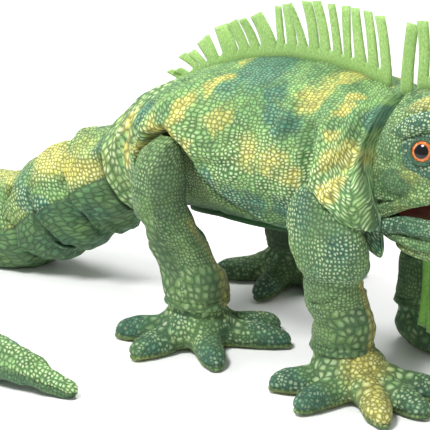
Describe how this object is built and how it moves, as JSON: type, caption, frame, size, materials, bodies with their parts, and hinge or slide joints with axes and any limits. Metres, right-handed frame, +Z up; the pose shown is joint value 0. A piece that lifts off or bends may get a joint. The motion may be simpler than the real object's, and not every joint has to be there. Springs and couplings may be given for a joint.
{
  "type": "iguana hand puppet",
  "caption": "Plush iguana hand puppet with an opening jaw, felt comb, swinging legs, soft splayed toes and a long curled tail; a hand goes in at the belly.",
  "frame": {"origin": "bottom centre of the bounding box, on the floor the feet stand on", "axes": "+X towards the head, +Y the animal's left, +Z up"},
  "size_m": [0.5746, 0.3426, 0.2446],
  "materials": {
    "felt_green": "soft pile",
    "hem_dark": "soft pile",
    "iris_orange": "glossy",
    "mouth_red": "soft pile",
    "scale_green": "soft pile",
    "scale_teal": "soft pile",
    "scale_yellow": "soft pile",
    "sole_green": "soft pile",
    "tongue_red": "soft pile"
  },
  "bodies": {
    "dewlap": {"dewlap": "felt_green"},
    "foot_front_left": {"foot_front_left": "scale_teal", "sole_front_left": "sole_green"},
    "foot_front_right": {"foot_front_right": "scale_teal", "sole_front_right": "sole_green"},
    "foot_hind_left": {"foot_hind_left": "scale_teal", "sole_hind_left": "sole_green"},
    "foot_hind_right": {"foot_hind_right": "scale_teal", "sole_hind_right": "sole_green"},
    "head": {"brow_left": "scale_teal", "brow_right": "scale_teal", "crown_roll_left": "scale_yellow", "crown_roll_right": "scale_yellow", "ear_patch_left": "scale_green", "ear_patch_right": "scale_green", "eye_left": "iris_orange", "eye_right": "iris_orange", "eye_socket_left": "scale_teal", "eye_socket_right": "scale_teal", "head_crest": "felt_green", "head_skin": "scale_green", "palate": "mouth_red", "upper_lip": "scale_yellow"},
    "jaw": {"jaw_skin": "scale_green", "jowl_roll_left": "scale_green", "jowl_roll_right": "scale_green", "lower_lip": "scale_teal", "mouth_floor": "mouth_red", "tongue": "tongue_red"},
    "leg_front_left": {"lower_leg_front_left": "scale_green", "upper_leg_front_left": "scale_green"},
    "leg_front_right": {"lower_leg_front_right": "scale_green", "upper_leg_front_right": "scale_green"},
    "leg_hind_left": {"lower_leg_hind_left": "scale_green", "upper_leg_hind_left": "scale_green"},
    "leg_hind_right": {"lower_leg_hind_right": "scale_green", "upper_leg_hind_right": "scale_green"},
    "neck": {"neck_skin": "scale_teal"},
    "tail_a": {"tail_1": "scale_green"},
    "tail_b": {"tail_2": "scale_teal", "tail_3": "scale_green"},
    "tail_c": {"tail_4": "scale_teal", "tail_5": "scale_green"},
    "tail_d": {"tail_6": "scale_teal", "tail_7": "scale_green"},
    "tail_e": {"tail_8": "scale_teal"},
    "torso": {"back_crest": "felt_green", "belly_panel": "scale_teal", "opening_hem": "hem_dark", "torso_panel_left": "scale_green", "torso_panel_right": "scale_green"}
  },
  "joints": [
    {"name": "neck_turn", "type": "hinge", "parent": "torso", "child": "neck", "pos_m": [0.17491, 0.02839, 0.147], "axis": [0, 0, 1], "range_deg": [-15, 15]},
    {"name": "head_lift", "type": "hinge", "parent": "neck", "child": "head", "pos_m": [0.17491, 0.02839, 0.147], "axis": [0, -1, 0], "range_deg": [-10, 10]},
    {"name": "jaw_open", "type": "hinge", "parent": "head", "child": "jaw", "pos_m": [0.18891, 0.02839, 0.129], "axis": [0, 1, 0], "range_deg": [-20, 14]},
    {"name": "dewlap_swing", "type": "hinge", "parent": "jaw", "child": "dewlap", "pos_m": [0.20691, 0.02839, 0.0935], "axis": [-1, 0, 0], "range_deg": [-12, 12]},
    {"name": "front_right_shoulder", "type": "hinge", "parent": "torso", "child": "leg_front_right", "pos_m": [0.16491, -0.04161, 0.118], "axis": [0, -1, 0], "range_deg": [-18, 18]},
    {"name": "front_left_shoulder", "type": "hinge", "parent": "torso", "child": "leg_front_left", "pos_m": [0.16491, 0.09839, 0.118], "axis": [0, -1, 0], "range_deg": [-18, 18]},
    {"name": "hind_right_hip", "type": "hinge", "parent": "torso", "child": "leg_hind_right", "pos_m": [0.02591, -0.04661, 0.13], "axis": [0, -1, 0], "range_deg": [-18, 18]},
    {"name": "hind_left_hip", "type": "hinge", "parent": "torso", "child": "leg_hind_left", "pos_m": [0.02591, 0.10339, 0.13], "axis": [0, -1, 0], "range_deg": [-18, 18]},
    {"name": "front_right_ankle", "type": "hinge", "parent": "leg_front_right", "child": "foot_front_right", "pos_m": [0.16391, -0.02261, 0.0305], "axis": [0, -1, 0], "range_deg": [-12, 12]},
    {"name": "front_left_ankle", "type": "hinge", "parent": "leg_front_left", "child": "foot_front_left", "pos_m": [0.16391, 0.07939, 0.0305], "axis": [0, -1, 0], "range_deg": [-12, 12]},
    {"name": "hind_right_ankle", "type": "hinge", "parent": "leg_hind_right", "child": "foot_hind_right", "pos_m": [0.04291, -0.02261, 0.0305], "axis": [0, -1, 0], "range_deg": [-12, 12]},
    {"name": "hind_left_ankle", "type": "hinge", "parent": "leg_hind_left", "child": "foot_hind_left", "pos_m": [0.02891, 0.11539, 0.0305], "axis": [0, -1, 0], "range_deg": [-12, 12]},
    {"name": "tail_bend_a", "type": "hinge", "parent": "torso", "child": "tail_a", "pos_m": [-0.05749, 0.02839, 0.0951], "axis": [0, 0, 1], "range_deg": [-14, 6]},
    {"name": "tail_bend_b", "type": "hinge", "parent": "tail_a", "child": "tail_b", "pos_m": [-0.15067, 0.02273, 0.03799], "axis": [0, 0, 1], "range_deg": [-18, 3]},
    {"name": "tail_bend_c", "type": "hinge", "parent": "tail_b", "child": "tail_c", "pos_m": [-0.24849, -0.03079, 0.02788], "axis": [0, 0, 1], "range_deg": [-22, 3]},
    {"name": "tail_bend_d", "type": "hinge", "parent": "tail_c", "child": "tail_d", "pos_m": [-0.21214, -0.13864, 0.02187], "axis": [0, 0, 1], "range_deg": [-22, 3]},
    {"name": "tail_bend_e", "type": "hinge", "parent": "tail_d", "child": "tail_e", "pos_m": [-0.05904, -0.15177, 0.0147], "axis": [0, 0, 1], "range_deg": [-20, 5]}
  ]
}
